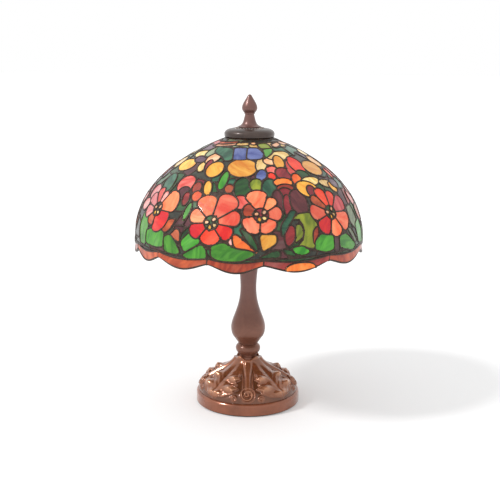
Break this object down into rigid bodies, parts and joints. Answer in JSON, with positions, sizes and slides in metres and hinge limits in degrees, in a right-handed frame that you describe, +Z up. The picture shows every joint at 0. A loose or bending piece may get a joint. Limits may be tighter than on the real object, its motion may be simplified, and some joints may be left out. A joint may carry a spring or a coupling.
{
  "type": "stained glass table lamp",
  "caption": "Table lamp with a scalloped dome shade of leaded stained glass on a harp, a turned column and a round cast base with raised ornament.",
  "frame": {"origin": "centre of the underside of the base, on the surface it stands on", "axes": "+Z up along the lamp's axis, +X to the right seen from the front, the front faces -Y"},
  "size_m": [0.3062, 0.3062, 0.4213],
  "materials": {
    "felt": "felt",
    "bronze_base": "glossy antique copper",
    "bronze_column": "satin antique bronze",
    "bronze_cap": "satin dark bronze",
    "cast_iron": "rough cast",
    "zinc_steel": "zinc plated",
    "brass": "satin",
    "nickel": "nickel plated",
    "black_nylon": "moulded",
    "black_phenolic": "moulded",
    "liner_board": "pressed board",
    "bulb_glass": "frosted",
    "clear_glass": "clear",
    "tungsten": "drawn wire",
    "glass_crown": "streaky stained glass, glossy",
    "glass_blossoms": "streaky stained glass, glossy",
    "glass_ground": "streaky stained glass, glossy",
    "glass_flowers": "streaky stained glass, glossy",
    "glass_leaves": "streaky stained glass, glossy",
    "glass_border": "streaky stained glass, glossy",
    "leading": "dark patinated solder"
  },
  "bodies": {
    "stand": {"felt_pad": "felt", "base_casting": "bronze_base", "ballast": "cast_iron", "base_nut": "zinc_steel", "base_washer": "zinc_steel", "cord_bush": "black_nylon", "knop": "bronze_column", "column": "bronze_column", "neck_ring": "brass", "stem_pipe": "brass", "saddle_nut": "brass", "harp_saddle": "brass", "harp": "brass", "socket_cap": "brass", "socket_shell": "brass", "socket_liner": "liner_board", "socket_interior": "black_phenolic", "terminal_screws": "brass", "screw_shell": "nickel", "centre_contact": "brass"},
    "shade": {"harp_stud": "brass", "shade_wheel": "brass", "aperture_ring": "brass", "cap_spacer": "brass", "vase_cap": "bronze_cap", "glass_crown": "glass_crown", "glass_blossoms": "glass_blossoms", "glass_ground": "glass_ground", "glass_flowers": "glass_flowers", "glass_leaves": "glass_leaves", "glass_border": "glass_border", "lead_rings": "leading", "lead_ribs": "leading", "rim_wire": "leading"},
    "washer": {"finial_washer": "black_nylon"},
    "finial": {"finial": "bronze_column", "finial_bush": "brass"},
    "bulb": {"bulb_contact": "nickel", "bulb_insulator": "black_phenolic", "bulb_cap": "nickel", "bulb_globe": "bulb_glass", "bulb_stem": "clear_glass", "bulb_filament": "tungsten"},
    "switch": {"switch_shaft": "brass", "switch_knob": "black_phenolic"},
    "ferrule_left": {"ferrule_left": "brass"},
    "ferrule_right": {"ferrule_right": "brass"}
  },
  "joints": [
    {"name": "shade_turn", "type": "hinge", "parent": "stand", "child": "shade", "pos_m": [0, 0, 0.36175], "axis": [0, 0, 1], "continuous": true},
    {"name": "finial_lift", "type": "slide", "parent": "shade", "child": "washer", "axis": [0, 0, 1], "range_m": [0, 0.0047]},
    {"name": "finial_turn", "type": "hinge", "parent": "washer", "child": "finial", "pos_m": [0, 0, 0.3784], "axis": [0, 0, 1], "range_deg": [0, 1800]},
    {"name": "bulb_turn", "type": "hinge", "parent": "stand", "child": "bulb", "pos_m": [0, 0, 0.233], "axis": [0, 0, 1], "range_deg": [0, 900]},
    {"name": "switch_turn", "type": "hinge", "parent": "stand", "child": "switch", "pos_m": [0, -0.02, 0.222], "axis": [0, -1, 0], "continuous": true},
    {"name": "ferrule_left_lift", "type": "slide", "parent": "stand", "child": "ferrule_left", "axis": [0, 0, 1], "range_m": [0, 0.012]},
    {"name": "ferrule_right_lift", "type": "slide", "parent": "stand", "child": "ferrule_right", "axis": [0, 0, 1], "range_m": [0, 0.012]}
  ],
  "couplings": [
    {"joint": "finial_turn", "follows": "finial_lift", "rad_per_m": 6680}
  ]
}
